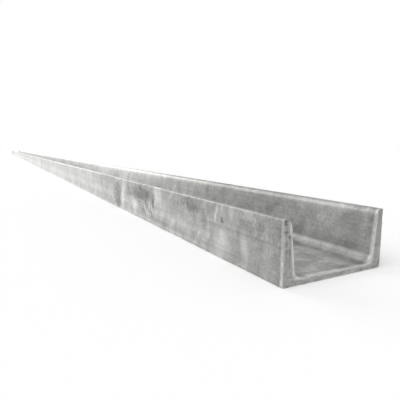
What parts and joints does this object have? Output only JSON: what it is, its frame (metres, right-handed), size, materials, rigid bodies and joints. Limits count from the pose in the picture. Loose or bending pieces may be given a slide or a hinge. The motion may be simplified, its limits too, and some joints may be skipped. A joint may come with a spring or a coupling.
{
  "type": "channel section",
  "caption": "Straight length of hot-rolled steel channel with tapered flanges and a dull zinc finish, cut square at both ends, for frames, purlins and supports.",
  "frame": {"origin": "middle of the back of the web: halfway along the length and halfway across, on the plane it lies on", "axes": "+X across the web from flange to flange, +Y along the length, +Z from the back of the web towards the toes of the flanges"},
  "size_m": [0.1, 6, 0.048],
  "materials": {
    "zinc_coated_steel": "hot-rolled carbon steel with a dull, mottled hot-dip zinc coat, which covers its sawn ends too"
  },
  "bodies": {
    "root": {"channel_section": "zinc_coated_steel"}
  },
  "joints": []
}
